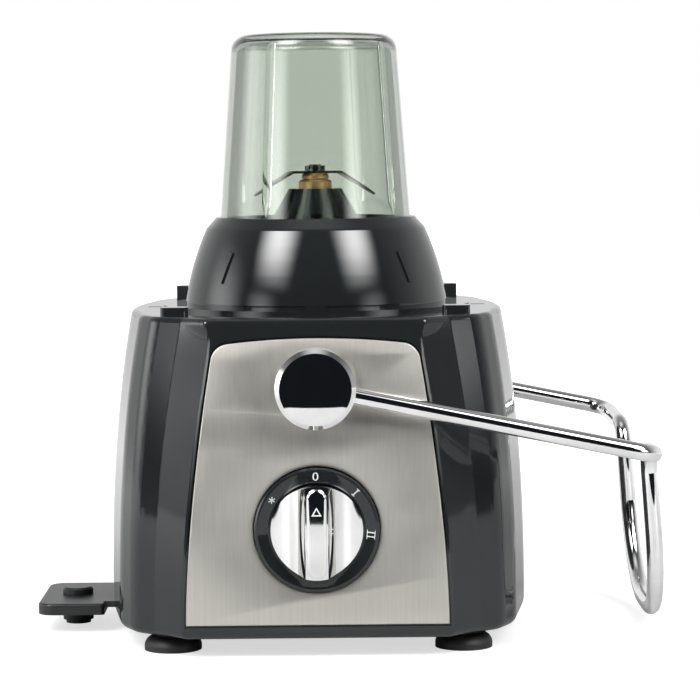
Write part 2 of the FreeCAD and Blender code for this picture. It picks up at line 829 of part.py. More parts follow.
def handle_bar():
    """Round bar: front arm, inward bend, U-shaped loop and rear arm in one piece."""
    centre = FreeCAD.Vector(0, -arm_y, pivot_z)
    front_half = [
        centre + arm_direction() * (cap_radius - rod_socket_depth),
        FreeCAD.Vector(arm_reach, -arm_y, corner_z),
        FreeCAD.Vector(leg_top_x, -leg_half_gap, leg_top_z),
        FreeCAD.Vector(loop_bottom_x, -leg_half_gap, loop_bottom_z),
    ]
    points = front_half + [FreeCAD.Vector(p.x, -p.y, p.z) for p in reversed(front_half)]
    radii = [corner_bend_radius, leg_bend_radius, loop_bend_radius]
    path = bent_wire(points, radii + radii[::-1])
    section = Part.Wire(Part.makeCircle(rod_radius, points[0], arm_direction()))
    return path.makePipeShell([section], True, False)


# ---------------------------------------------------------------- speed knob and switch
def dial_ring():
    bore = switch_neck_radius + clear_gap
    floor = dial_seat + dial_floor
    inner = knob_radius + clear_gap * 2
    return turned_y([
        (bore, dial_seat), (dial_radius, dial_seat), (dial_radius, dial_seat + dial_rim - 0.8),
        (dial_radius - 0.8, dial_seat + dial_rim), (dial_radius - 1.6, dial_seat + dial_rim),
        (inner + 0.6, dial_seat + dial_inner_rim), (inner, dial_seat + dial_inner_rim - 0.4),
        (inner, floor), (bore, floor),
    ], knob_z)


def grip_bar():
    """Upright bar across the knob with round ends."""
    half = knob_radius - 0.6
    r = grip_width / 2
    corners = [(-r, -half, r - 0.01), (r, -half, r - 0.01), (r, half, r - 0.01), (-r, half, r - 0.01)]
    bar = Part.Face(rounded_wire(corners, 0)).extrude(FreeCAD.Vector(0, 0, knob_height - 1))
    bar = bar.makeFillet(grip_edge_radius, [e for e in bar.Edges if e.BoundBox.ZMin > knob_height - 1.01])
    bar.rotate(FreeCAD.Vector(0, 0, 0), FreeCAD.Vector(1, 0, 0), 90)
    bar.translate(FreeCAD.Vector(0, -knob_back - 1, knob_z))
    return bar


def speed_knob():
    body = rod_y(knob_radius, knob_back, knob_front, 0, knob_z)
    for side in (-1, 1):
        x = side * (grip_width / 2 + scoop_radius)
        start = FreeCAD.Vector(x, -knob_back - knob_skirt - scoop_radius, knob_z - 30)
        body = body.cut(Part.makeCylinder(scoop_radius, 60, start))
        outer = side * (grip_width / 2 + 2 * scoop_radius)
        low, high = sorted((x, outer))
        body = body.cut(block(low, high, -knob_front - 1, -knob_back - knob_skirt, knob_z - 30, knob_z + 30))
    body = body.cut(block(-30, 30, -knob_front - 1, -knob_front + 1, knob_z - 30, knob_z + 30))
    bore = rod_y(spindle_radius + fit_gap, knob_back - 1, knob_front - 5, 0, knob_z)
    return body.fuse(grip_bar()).cut(bore)


def switch_spindle():
    return rod_y(spindle_radius, switch_front - switch_depth / 2, knob_front - 5, 0, knob_z)


def rotary_switch():
    half = switch_width / 2
    low, high = knob_z - switch_height / 2, knob_z + switch_height / 2
    body = block(-half, half, -switch_front, -switch_front + switch_depth, low, high)
    body = body.fuse(rod_y(switch_neck_radius, switch_front - 1, dial_seat + dial_floor - 0.2, 0, knob_z))
    bore_start = switch_front - switch_depth / 2 - 0.5
    return body.cut(rod_y(spindle_radius + running_gap, bore_start, knob_front, 0, knob_z))


def switch_terminals():
    back = -switch_front + switch_depth
    solids = []
    for index in range(terminal_count):
        x = (index - (terminal_count - 1) / 2) * 6.4
        solids.append(block(x - 0.4, x + 0.4, back, back + 7, knob_z - 3.2, knob_z + 3.2))
    return solids


# ---------------------------------------------------------------- motor
def coil_loop(start_deg):
    """Field coil as a closed loop round its pole."""
    bottom, top = stack_bottom_z - coil_height, stack_top_z + coil_height
    outer = sector(coil_inner_radius, coil_outer_radius, bottom, top, start_deg, coil_span_deg)
    window = sector(coil_inner_radius - 1, coil_outer_radius + 1, stack_bottom_z, stack_top_z,
                    start_deg + 14, coil_span_deg - 28)
    return outer.cut(window)


def coil_sides(start_deg):
    """Room in the stack for the two upright sides of a coil."""
    solids = []
    for side_start in (start_deg - 0.4, start_deg + coil_span_deg - 14):
        solids.append(sector(coil_inner_radius - fit_gap, coil_outer_radius + fit_gap, stack_bottom_z - 1,
                             stack_top_z + 1, side_start, 14.4))
    return solids


def field_coils():
    return [coil_loop(-coil_span_deg / 2), coil_loop(180 - coil_span_deg / 2)]


def motor_stator():
    half = stack_width / 2
    body = block(-half, half, -half, half, stack_bottom_z, stack_top_z)
    body = body.common(rod_z(stack_round_radius, stack_bottom_z, stack_top_z))
    body = body.cut(rod_z(stack_bore_radius, stack_bottom_z - 1, stack_top_z + 1))
    for start in (-coil_span_deg / 2, 180 - coil_span_deg / 2):
        for solid in coil_sides(start):
            body = body.cut(solid)
    return cut_bolt_holes(body)


def cut_bolt_holes(body):
    for x, y in four_corners(bolt_offset, bolt_offset):
        body = body.cut(rod_z(bolt_radius + 0.3, lower_plate_z - 5, upper_plate_z + 10, x, y))
    return body


def bearing_cup(body, bearing_bottom):
    """Adds a cup for a ball bearing; its lip lies under the bearing."""
    body = body.fuse(rod_z(bearing_cup_radius, bearing_bottom - 1.5, bearing_bottom + bearing_width))
    body = body.cut(rod_z(bearing_outer_radius + fit_gap, bearing_bottom, bearing_bottom + bearing_width + 5))
    return body.cut(rod_z(shaft_radius + 2, bearing_bottom - 5, bearing_bottom + 1))


def lower_motor_bracket():
    half = lower_plate_width / 2
    top = lower_plate_z + bracket_plate
    body = rounded_block(-half, half, -half, half, lower_plate_z, top, 10)
    for x, y in four_corners(bolt_offset, bolt_offset):
        body = body.fuse(rod_z(bracket_leg_radius, top - 1, stack_bottom_z, x, y))
    return cut_bolt_holes(bearing_cup(body, lower_bearing_z))


def upper_motor_bracket():
    half = upper_plate_width / 2
    body = rounded_block(-half, half, -half, half, upper_plate_z, upper_plate_z + bracket_plate, 12)
    for x, y in four_corners(bolt_offset, bolt_offset):
        body = body.fuse(rod_z(bracket_leg_radius, stack_top_z, upper_plate_z + 1, x, y))
    body = bearing_cup(body, upper_bearing_z)
    for x, y in four_corners(mount_offset, mount_offset):
        body = body.cut(rod_z(screw_radius + 0.4, upper_plate_z - 1, upper_plate_z + 10, x, y))
    return cut_bolt_holes(body)


def ball_bearing(bottom):
    return turned_z([
        (shaft_radius + running_gap, bottom), (6.2, bottom), (6.6, bottom + 0.5), (9.2, bottom + 0.5),
        (9.6, bottom), (bearing_outer_radius, bottom), (bearing_outer_radius, bottom + bearing_width),
        (9.6, bottom + bearing_width), (9.2, bottom + bearing_width - 0.5),
        (6.6, bottom + bearing_width - 0.5), (6.2, bottom + bearing_width),
        (shaft_radius + running_gap, bottom + bearing_width),
    ])


def motor_bolts():
    solids = []
    for x, y in four_corners(bolt_offset, bolt_offset):
        bolt = rod_z(bolt_radius, lower_plate_z - 1, upper_plate_z + bracket_plate + 3, x, y)
        bolt = bolt.fuse(rod_z(bolt_radius + 1.6, lower_plate_z - 3, lower_plate_z, x, y))
        solids.append(bolt.fuse(rod_z(bolt_radius + 1.6, upper_plate_z + bracket_plate,
                                      upper_plate_z + bracket_plate + 3, x, y)))
    return solids


def mount_grommets():
    solids = []
    bottom = upper_plate_z + bracket_plate
    for x, y in four_corners(mount_offset, mount_offset):
        ring = rod_z(grommet_radius, bottom, mount_boss_bottom, x, y)
        solids.append(ring.cut(rod_z(screw_radius + 0.4, bottom - 1, mount_boss_bottom + 1, x, y)))
    return solids


def mount_screws():
    solids = []
    for x, y in four_corners(mount_offset, mount_offset):
        head = rod_z(screw_head_radius, upper_plate_z - screw_head_height, upper_plate_z, x, y)
        solids.append(head.fuse(rod_z(screw_radius, upper_plate_z - 1, mount_boss_bottom + 4, x, y)))
    return solids


def brush_holders():
    half_w = brush_width / 2 + fit_gap
    half_h = brush_height / 2 + fit_gap
    middle = (commutator_bottom_z + commutator_top_z) / 2
    start = commutator_radius + holder_gap
    end = start + holder_length
    outer = block(start, end, -half_w - holder_wall, half_w + holder_wall,
                  lower_plate_z + bracket_plate, middle + half_h + holder_wall)
    channel = block(start - 1, end - holder_wall, -half_w, half_w, middle - half_h, middle + half_h)
    return turned_copies(outer.cut(channel), 2)


def carbon_brushes():
    middle = (commutator_bottom_z + commutator_top_z) / 2
    start = commutator_radius + clear_gap
    brush = block(start, start + brush_length, -brush_width / 2, brush_width / 2,
                  middle - brush_height / 2, middle + brush_height / 2)
    return turned_copies(brush, 2)


def brush_springs():
    """Coil springs behind the brushes, as sleeves of the coil's outer size."""
    middle = (commutator_bottom_z + commutator_top_z) / 2
    start = FreeCAD.Vector(commutator_radius + clear_gap + brush_length, 0, middle)
    length = holder_gap + holder_length - holder_wall - clear_gap - brush_length
    spring = Part.makeCylinder(2.6, length, start, FreeCAD.Vector(1, 0, 0))
    bore_start = start - FreeCAD.Vector(1, 0, 0)
    spring = spring.cut(Part.makeCylinder(2.0, length + 2, bore_start, FreeCAD.Vector(1, 0, 0)))
    return turned_copies(spring, 2)


def motor_shaft():
    return rod_z(shaft_radius, shaft_bottom_z, dog_bottom_z)


def armature_core():
    body = rod_z(armature_radius, stack_bottom_z, stack_top_z)
    slot = block(armature_radius - armature_slot_depth, armature_radius + 1, -armature_slot_width / 2,
                 armature_slot_width / 2, stack_bottom_z - 1, stack_top_z + 1)
    for cutter in turned_copies(slot, armature_slots):
        body = body.cut(cutter)
    return body.cut(rod_z(shaft_radius + fit_gap, stack_bottom_z - 1, stack_top_z + 1))


def armature_windings():
    solids = []
    for bottom in (stack_bottom_z - winding_height, stack_top_z):
        solids.append(turned_z([
            (shaft_radius + 1.5, bottom), (winding_radius - 2, bottom), (winding_radius, bottom + 2),
            (winding_radius, bottom + winding_height - 2), (winding_radius - 2, bottom + winding_height),
            (shaft_radius + 1.5, bottom + winding_height),
        ]))
    return solids


def commutator():
    body = rod_z(commutator_radius, commutator_bottom_z, commutator_top_z)
    groove = block(commutator_radius - 1.2, commutator_radius + 1, -0.3, 0.3,
                   commutator_bottom_z - 1, commutator_top_z + 1)
    for cutter in turned_copies(groove, commutator_bars):
        body = body.cut(cutter)
    return body.cut(rod_z(shaft_radius + fit_gap, commutator_bottom_z - 1, commutator_top_z + 1))


def cooling_fan():
    top = fan_bottom_z + fan_height
    body = rod_z(fan_hub_radius, fan_bottom_z, top).fuse(rod_z(fan_radius, top - fan_disc, top))
    half = fan_disc / 2
    blade = block(fan_hub_radius - 1, fan_radius - 1, -half, half, fan_bottom_z, top - half)
    for copy in turned_copies(blade, fan_blades):
        body = body.fuse(copy)
    return body.cut(rod_z(shaft_radius + fit_gap, fan_bottom_z - 1, top + 1))


def shaft_seal():
    bottom = neck_top - seal_height
    lip = shaft_radius + clear_gap
    return turned_z([
        (lip + 1.6, bottom), (seal_radius, bottom), (seal_radius, neck_top), (lip + 2.4, neck_top),
        (lip, neck_top - 2.2), (lip, neck_top - 3.4), (lip + 1.6, neck_top - 4.2),
    ])


# ---------------------------------------------------------------- drive coupling
def dogs(bottom, top, start_deg):
    dog = sector(dog_inner_radius, dog_outer_radius, bottom, top, start_deg, dog_span_deg)
    return turned_copies(dog, dog_count)


def drive_coupling():
    body = rod_z(coupling_radius, coupling_bottom_z, dog_bottom_z)
    for dog in dogs(dog_bottom_z - 1, dog_bottom_z + dog_height, 0):
        body = body.fuse(dog)
    return body.cut(rod_z(shaft_radius + fit_gap, coupling_bottom_z - 1, dog_bottom_z + 1))


def driven_coupling():
    body = rod_z(coupling_radius, driven_z, driven_z + driven_disc)
    body = body.fuse(rod_z(blade_spindle_radius + 3, driven_z, driven_z + driven_disc + 3))
    for dog in dogs(dog_bottom_z + dog_end_gap, driven_z + 1, 180 / dog_count):
        body = body.fuse(dog)
    return body.cut(rod_z(blade_spindle_radius + fit_gap, driven_z - 1, driven_z + driven_disc + 4))


# ---------------------------------------------------------------- mill base
def skirt_layer(proud):
    """The skirt's outer surface as a solid, grown outwards."""
    return turned_z([
        (0, platform_top + ring_height), (skirt_bottom_radius + proud, platform_top + ring_height),
        (shoulder_radius + proud, shoulder_z, skirt_middle_radius + proud, skirt_middle_z), (0, shoulder_z),
    ])


def mill_collar():
    lip_radius = cup_rim_radius + clear_gap
    lip_top_radius = lip_radius + lug_reach + 0.6
    groove_inner = cup_rim_radius - cup_wall - clear_gap
    ring_top = platform_top + ring_height
    inside = collar_wall
    body = turned_z([
        (ring_radius, platform_top), (ring_radius, ring_top), (skirt_bottom_radius, ring_top),
        (shoulder_radius, shoulder_z, skirt_middle_radius, skirt_middle_z),
        (shoulder_radius - 0.6, shoulder_z + 0.8),
        (lip_top_radius, collar_top_z), (lip_radius, collar_top_z), (lip_radius, groove_floor_z),
        (groove_inner, groove_floor_z), (groove_inner, mill_floor_z), (cone_base_radius, mill_floor_z),
        (cone_top_radius, cone_top_z), (bush_radius + fit_gap, cone_top_z),
        (bush_radius + fit_gap, hub_bottom_z),
        (hub_wall_radius, hub_bottom_z), (hub_wall_radius, mill_floor_z - inside),
        (groove_inner - inside, mill_floor_z - inside), (groove_inner - inside, groove_floor_z - inside),
        (shoulder_radius - inside, groove_floor_z - inside),
        (ring_radius - inside, ring_top, skirt_middle_radius - inside, skirt_middle_z - 2),
        (ring_radius - inside, platform_top),
    ])
    tab_end = ring_radius + tab_reach
    tab = sector(ring_radius - 1, tab_end, platform_top, ring_top, -tab_span_deg / 2, tab_span_deg)
    tab.rotate(FreeCAD.Vector(0, 0, 0), FreeCAD.Vector(0, 0, 1), -90)
    for copy in turned_copies(tab, tab_count):
        body = body.fuse(copy)
    for mark in grip_marks():
        body = body.fuse(mark)
    return cut_cup_lock(body)


def grip_marks():
    """Slanted raised ribs on the skirt."""
    layer = skirt_layer(grip_mark_proud).cut(skirt_layer(-0.5))
    half_w, half_l = grip_mark_width / 2, grip_mark_length / 2
    marks = []
    for index in range(grip_mark_count):
        tilt = grip_mark_tilt_deg if index in (0, 3) else -grip_mark_tilt_deg
        bar = block(skirt_middle_radius - 12, skirt_middle_radius + 12, -half_w, half_w, -half_l, half_l)
        bar.rotate(FreeCAD.Vector(0, 0, 0), FreeCAD.Vector(1, 0, 0), tilt)
        bar.translate(FreeCAD.Vector(0, 0, skirt_middle_z))
        bar.rotate(FreeCAD.Vector(0, 0, 0), FreeCAD.Vector(0, 0, 1), 45 + 90 * index)
        marks.append(bar.common(layer))
    return marks


def cut_cup_lock(body):
    """Channels that the cup's lugs turn in, each with an entry slot from above."""
    inner = cup_rim_radius
    outer = cup_rim_radius + lug_reach + clear_gap
    margin = 1.5
    for index in range(lug_count):
        start = index * 360 / lug_count - margin
        channel = sector(inner, outer, lug_z - clear_gap, lug_z + lug_height + clear_gap, start,
                         lug_span_deg + cup_turn_deg + 2 * margin)
        entry = sector(inner, outer, lug_z, collar_top_z + 1, start + cup_turn_deg, lug_span_deg + 2 * margin)
        body = body.cut(channel).cut(entry)
    return body


def mill_seal():
    inner = cup_rim_radius - cup_wall - clear_gap + fit_gap
    outer = cup_rim_radius + clear_gap - fit_gap
    return rod_z(outer, groove_floor_z, cup_rim_z).cut(rod_z(inner, groove_floor_z - 1, cup_rim_z + 1))


def blade_bushing():
    return turned_z([
        (blade_spindle_radius + running_gap, hub_bottom_z), (bush_radius, hub_bottom_z),
        (bush_radius, bush_top_z - 0.8), (bush_radius - 0.8, bush_top_z),
        (blade_spindle_radius + running_gap, bush_top_z),
    ])


# ---------------------------------------------------------------- blades
def blade_spindle():
    top = blade_z + blade_thickness + nut_height + spindle_tip
    return rod_z(blade_spindle_radius, driven_z, top)


def blade_spacer():
    bottom = bush_top_z + running_gap * 2
    bore = blade_spindle_radius + fit_gap
    return turned_z([
        (bore, bottom), (spacer_radius - 0.6, bottom), (spacer_radius, bottom + 0.6),
        (spacer_radius, blade_z - 1.0), (spacer_radius - 1.0, blade_z), (bore, blade_z),
    ])


def mill_blade():
    """Two-winged blade bent down at both ends, sharpened along opposite edges."""
    low = blade_z
    half = blade_flat_half
    tip_z = low - blade_drop
    bend_x, bend_z = half + 9.0, low - 5.2
    top = blade_thickness
    outline = [
        (-half, low), (half, low), (bend_x, bend_z), (blade_reach, tip_z),
        (blade_reach + 0.4, tip_z + top * 0.8),
        (bend_x + 0.6, bend_z + top), (half + 0.3, low + top), (-half - 0.3, low + top),
        (-bend_x - 0.6, bend_z + top), (-blade_reach - 0.4, tip_z + top * 0.8), (-blade_reach, tip_z),
        (-bend_x, bend_z),
    ]
    strip = Part.Face(closed_wire(outline, flat_xz)).extrude(FreeCAD.Vector(0, 2 * blade_width, 0))
    strip.translate(FreeCAD.Vector(0, -blade_width, 0))
    w = blade_width / 2
    reach = blade_reach + 1
    plan = [
        (half, -w), (reach, w - 2.5), (reach, w), (half, w),
        (-half, w), (-reach, 2.5 - w), (-reach, -w), (-half, -w),
    ]
    prism = Part.Face(closed_wire(plan, flat_xy)).extrude(FreeCAD.Vector(0, 0, 60))
    prism.translate(FreeCAD.Vector(0, 0, low - 40))
    blade = strip.common(prism).cut(rod_z(blade_spindle_radius + fit_gap, low - 1, low + 3))
    blade.rotate(FreeCAD.Vector(0, 0, 0), FreeCAD.Vector(0, 0, 1), blade_turn_deg)
    return blade


def blade_nut():
    """Toothed lock nut on the spindle's end."""
    bottom = blade_z + blade_thickness
    body = rod_z(nut_radius + 0.8, bottom, bottom + nut_height)
    notch = block(nut_radius, nut_radius + 3, -0.6, 0.6, bottom + 0.8, bottom + nut_height + 1)
    for cutter in turned_copies(notch, nut_teeth):
        body = body.cut(cutter)
    return body.cut(rod_z(blade_spindle_radius + fit_gap, bottom - 1, bottom + nut_height + 1))


# ---------------------------------------------------------------- mill cup
def cup_wall_radius(z):
    """Inside radius of the cup's tapering wall."""
    share = (z - collar_top_z) / (cup_shoulder_z - collar_top_z)
    return cup_rim_radius - cup_wall - max(share, 0) * (cup_rim_radius - cup_shoulder_radius)


def cup_outside():
    r = cup_corner_radius
    bend = r * (1 - math.sqrt(0.5))
    return turned_z([
        (0, cup_rim_z), (cup_rim_radius, cup_rim_z), (cup_rim_radius, collar_top_z),
        (cup_shoulder_radius, cup_shoulder_z),
        (cup_shoulder_radius - r, cup_top_z, cup_shoulder_radius - bend, cup_top_z - bend),
        (0, cup_top_z + 0.6),
    ])


def cup_inside():
    top = cup_top_z - cup_end_wall
    r = cup_corner_radius - cup_wall
    bend = r * (1 - math.sqrt(0.5))
    shoulder = cup_shoulder_radius - cup_wall
    return turned_z([
        (0, cup_rim_z - 1), (cup_rim_radius - cup_wall, cup_rim_z - 1),
        (cup_rim_radius - cup_wall, collar_top_z),
        (cup_wall_radius(top - r), top - r), (shoulder - r, top, shoulder - bend, top - bend), (0, top),
    ])


def cup_rib():
    """Upright ridge inside the wall with a pointed lower end."""
    top = cup_top_z - cup_end_wall / 2
    start = FreeCAD.Vector(cup_wall_radius(rib_bottom_z) + 0.6, 0, rib_bottom_z)
    end = FreeCAD.Vector(cup_wall_radius(cup_shoulder_z) + 0.2, 0, top)
    direction = end - start
    length = direction.Length
    ridge = Part.makeCylinder(rib_radius, length, start, direction)
    point = Part.makeCone(rib_radius, 0.3, rib_point_length, start, direction * -1)
    return ridge.fuse(point)


def mill_cup():
    outside = cup_outside()
    body = outside.cut(cup_inside())
    rib = cup_rib()
    rib.rotate(FreeCAD.Vector(0, 0, 0), FreeCAD.Vector(0, 0, 1), rib_start_deg)
    for copy in turned_copies(rib, rib_count):
        body = body.fuse(copy.common(outside))
    lug = sector(cup_rim_radius - 1, cup_rim_radius + lug_reach, lug_z, lug_z + lug_height, 0, lug_span_deg)
    for copy in turned_copies(lug, lug_count):
        body = body.fuse(copy)
    return body


# ---------------------------------------------------------------- side shelf
def side_shelf():
    half = shelf_half_length
    bottom = shelf_top_z - shelf_thickness
    r = shelf_corner_radius
    corners = [
        (shelf_end_x, -half, r), (shelf_start_x, -half, 2), (shelf_start_x, half, 2), (shelf_end_x, half, r),
    ]
    plate = Part.Face(rounded_wire(corners, bottom)).extrude(FreeCAD.Vector(0, 0, shelf_thickness))
    plate = plate.makeFillet(1.2, [e for e in plate.Edges if e.BoundBox.ZMin > shelf_top_z - 0.01])
    tongue = block(shelf_start_x - 4, tongue_end_x, -tongue_half_length, tongue_half_length,
                   cover_inside_z, shelf_top_z)
    body = plate.fuse(tongue).cut(rod_z(shelf_stem_radius + fit_gap, 0, shelf_top_z + 1, stud_x))
    body = body.cut(rod_z(stud_radius + fit_gap, shelf_top_z - stud_seat_depth, shelf_top_z + 1, stud_x))
    for y in (-tongue_half_length / 2, tongue_half_length / 2):
        x = tongue_end_x - tongue_screw_inset
        body = body.cut(rod_z(pilot_radius, cover_inside_z - 1, shelf_top_z + 1, x, y))
    return body


def shelf_screws():
    solids = []
    for y in (-tongue_half_length / 2, tongue_half_length / 2):
        x = tongue_end_x - tongue_screw_inset
        head = rod_z(screw_head_radius, cover_z - screw_head_height, cover_z, x, y)
        solids.append(head.fuse(rod_z(screw_radius, cover_z - 1, shelf_top_z - 0.2, x, y)))
    return solids


def shelf_stud():
    top = shelf_top_z + stud_height
    seat = shelf_top_z - stud_seat_depth
    neck_end = shelf_top_z + stud_neck_rise
    return turned_z([
        (0, stem_end_z), (shelf_stem_radius, stem_end_z), (shelf_stem_radius, seat),
        (stud_neck_radius, seat), (stud_neck_radius, neck_end), (stud_radius, neck_end),
        (stud_radius, top - stud_edge), (stud_radius - stud_edge, top), (0, top),
    ], stud_x)


def shelf_foot():
    bottom = shelf_top_z - shelf_thickness
    bore = shelf_stem_radius + fit_gap
    return turned_z([
        (0, 0), (shelf_foot_tip_radius, 0), (shelf_foot_tip_radius, shelf_foot_tip),
        (shelf_foot_radius, shelf_foot_tip), (shelf_foot_radius, bottom), (bore, bottom),
        (bore, stem_end_z - fit_gap), (0, stem_end_z - fit_gap),
    ], stud_x)


# ---------------------------------------------------------------- safety interlock
def interlock_plunger():
    half_w = slot_width / 2 - clear_gap
    half_l = slot_length / 2 - clear_gap
    top = deck_z - 0.5
    bottom = button_top_z + plunger_play
    stem = block(-slot_x - half_w, -slot_x + half_w, -half_l, half_l, bottom, top)
    collar_top = deck_z - wall - 0.3
    collar = block(-slot_x - half_w, -slot_x + half_w, -half_l - 2, half_l + 2,
                   collar_top - plunger_collar, collar_top)
    return stem.fuse(collar)


def microswitch():
    top = microswitch_floor_z + microswitch_height
    body = block(-slot_x - 5, -slot_x + 5, -8, 8, microswitch_floor_z, top)
    return body.fuse(rod_z(1.4, top - 1, button_top_z, -slot_x, 0))


# ---------------------------------------------------------------- build every node
save("upper_housing", upper_housing())
save("front_steel_panel", front_steel_panel())
save("bottom_cover", bottom_cover())
save("bottom_screws", *bottom_screws())
save("foot_front_left", foot(-foot_x, -foot_y))
save("foot_front_right", foot(foot_x, -foot_y))
save("foot_rear_left", foot(-foot_x, foot_y))
save("foot_rear_right", foot(foot_x, foot_y))
save("cord_gland", cord_gland())
save("pivot_bushing_front", pivot_bushing(-1))
save("pivot_bushing_rear", pivot_bushing(1))
save("pivot_pin_front", pivot_pin(-1))
save("pivot_pin_rear", pivot_pin(1))
save("pivot_cap_front", pivot_cap(-1))
save("pivot_cap_rear", pivot_cap(1))
save("handle_bar", handle_bar())
save("dial_ring", dial_ring())
save("speed_knob", speed_knob())
save("switch_spindle", switch_spindle())
save("rotary_switch", rotary_switch())
save("switch_terminals", *switch_terminals())
save("motor_stator", motor_stator())
save("field_coils", *field_coils())
save("lower_motor_bracket", lower_motor_bracket())
save("upper_motor_bracket", upper_motor_bracket())
save("lower_bearing", ball_bearing(lower_bearing_z))
save("upper_bearing", ball_bearing(upper_bearing_z))
save("motor_bolts", *motor_bolts())
save("mount_grommets", *mount_grommets())
save("mount_screws", *mount_screws())
save("brush_holders", *brush_holders())
save("carbon_brushes", *carbon_brushes())
save("brush_springs", *brush_springs())
save("motor_shaft", motor_shaft())
save("armature_core", armature_core())
save("armature_windings", *armature_windings())
save("commutator", commutator())
save("cooling_fan", cooling_fan())
save("shaft_seal", shaft_seal())
save("drive_coupling", drive_coupling())
save("driven_coupling", driven_coupling())
save("mill_collar", mill_collar())
save("mill_seal", mill_seal())
save("blade_bushing", blade_bushing())
save("blade_spindle", blade_spindle())
save("blade_spacer", blade_spacer())
save("mill_blade", mill_blade())
save("blade_nut", blade_nut())
save("mill_cup", mill_cup())
save("side_shelf", side_shelf())
save("shelf_screws", *shelf_screws())
save("shelf_stud", shelf_stud())
save("shelf_foot", shelf_foot())
save("interlock_plunger", interlock_plunger())
save("microswitch", microswitch())
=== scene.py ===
import math

import bmesh
import bpy
from mathutils import Matrix, Vector


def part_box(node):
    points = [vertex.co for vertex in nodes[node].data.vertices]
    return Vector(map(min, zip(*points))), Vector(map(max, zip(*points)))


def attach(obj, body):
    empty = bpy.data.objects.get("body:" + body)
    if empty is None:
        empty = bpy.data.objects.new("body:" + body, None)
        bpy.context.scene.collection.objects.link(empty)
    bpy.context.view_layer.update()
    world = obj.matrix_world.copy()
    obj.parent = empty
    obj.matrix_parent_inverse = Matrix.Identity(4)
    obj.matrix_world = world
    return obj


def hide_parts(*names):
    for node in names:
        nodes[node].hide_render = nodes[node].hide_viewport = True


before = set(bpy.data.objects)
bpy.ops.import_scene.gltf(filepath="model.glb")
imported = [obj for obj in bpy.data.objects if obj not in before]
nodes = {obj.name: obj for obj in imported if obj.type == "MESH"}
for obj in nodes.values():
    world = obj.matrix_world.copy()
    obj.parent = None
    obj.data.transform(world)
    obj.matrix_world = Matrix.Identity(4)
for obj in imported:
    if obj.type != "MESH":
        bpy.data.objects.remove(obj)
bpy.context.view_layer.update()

# ---------------------------------------------------------------- housing
# One moulded shell of glossy black ABS: a slightly barrelled body with slanted facets and round corner
# posts under a flat deck with a raised round platform. The bottom tray, the mill's collar and the dial
# ring are moulded in the same gloss.


def new_material(name):
    """New material, its node tree and its Principled shader."""
    material = bpy.data.materials.new(name)
    material.use_nodes = True
    tree = material.node_tree
    return material, tree, tree.nodes["Principled BSDF"]


def object_pattern(tree, scale, stretch=(1.0, 1.0, 1.0), detail=4.0):
    """Noise on Object coordinates, stretched per axis."""
    place = tree.nodes.new("ShaderNodeTexCoord")
    mapping = tree.nodes.new("ShaderNodeMapping")
    mapping.inputs["Scale"].default_value = stretch
    pattern = tree.nodes.new("ShaderNodeTexNoise")
    pattern.inputs["Scale"].default_value = scale
    pattern.inputs["Detail"].default_value = detail
    tree.links.new(place.outputs["Object"], mapping.inputs["Vector"])
    tree.links.new(mapping.outputs["Vector"], pattern.inputs["Vector"])
    return pattern


def between(tree, pattern, socket, low, high):
    """Drives a number socket from a pattern, between two values."""
    spread = tree.nodes.new("ShaderNodeMapRange")
    spread.inputs["To Min"].default_value = low
    spread.inputs["To Max"].default_value = high
    tree.links.new(pattern.outputs["Fac"], spread.inputs["Value"])
    tree.links.new(spread.outputs["Result"], socket)


def two_tone(tree, pattern, socket, first, second):
    """Drives a colour socket from a pattern, between two colours."""
    first_until = 0.35
    second_from = 0.65
    ramp = tree.nodes.new("ShaderNodeValToRGB")
    ramp.color_ramp.elements[0].color = (*first, 1.0)
    ramp.color_ramp.elements[1].color = (*second, 1.0)
    ramp.color_ramp.elements[0].position = first_until
    ramp.color_ramp.elements[1].position = second_from
    tree.links.new(pattern.outputs["Fac"], ramp.inputs["Fac"])
    tree.links.new(ramp.outputs["Color"], socket)


def relief(tree, shader, pattern, strength, depth):
    """Bump from a pattern."""
    bump = tree.nodes.new("ShaderNodeBump")
    bump.inputs["Strength"].default_value = strength
    bump.inputs["Distance"].default_value = depth
    tree.links.new(pattern.outputs["Fac"], bump.inputs["Height"])
    tree.links.new(bump.outputs["Normal"], shader.inputs["Normal"])


def moulded_plastic(name, dark, light, gloss, matt, grain, grain_depth):
    """Moulded plastic: slight colour and sheen drift, with a fine surface grain."""
    material, tree, shader = new_material(name)
    colour_drift_scale = 9.0
    sheen_drift_scale = 26.0
    grain_strength = 0.12
    plastic_ior = 1.52
    two_tone(tree, object_pattern(tree, colour_drift_scale), shader.inputs["Base Color"], dark, light)
    between(tree, object_pattern(tree, sheen_drift_scale), shader.inputs["Roughness"], gloss, matt)
    relief(tree, shader, object_pattern(tree, grain), grain_strength, grain_depth)
    shader.inputs["IOR"].default_value = plastic_ior
    return material


def dress(material, *names):
    """Gives CAD nodes a finish."""
    for name in names:
        nodes[name].data.materials.clear()
        nodes[name].data.materials.append(material)


gloss_black = moulded_plastic(
    "gloss_black_abs", dark=(0.0110, 0.0125, 0.0135), light=(0.0135, 0.0150, 0.0160),
    gloss=0.045, matt=0.075, grain=60.0, grain_depth=0.00001)
dress(gloss_black, "upper_housing", "bottom_cover", "mill_collar", "dial_ring")

# ---------------------------------------------------------------- front panel
# Stainless sheet, brushed upright and cut with a fine bright edge.
# It lies in a shallow recess of the housing's front.


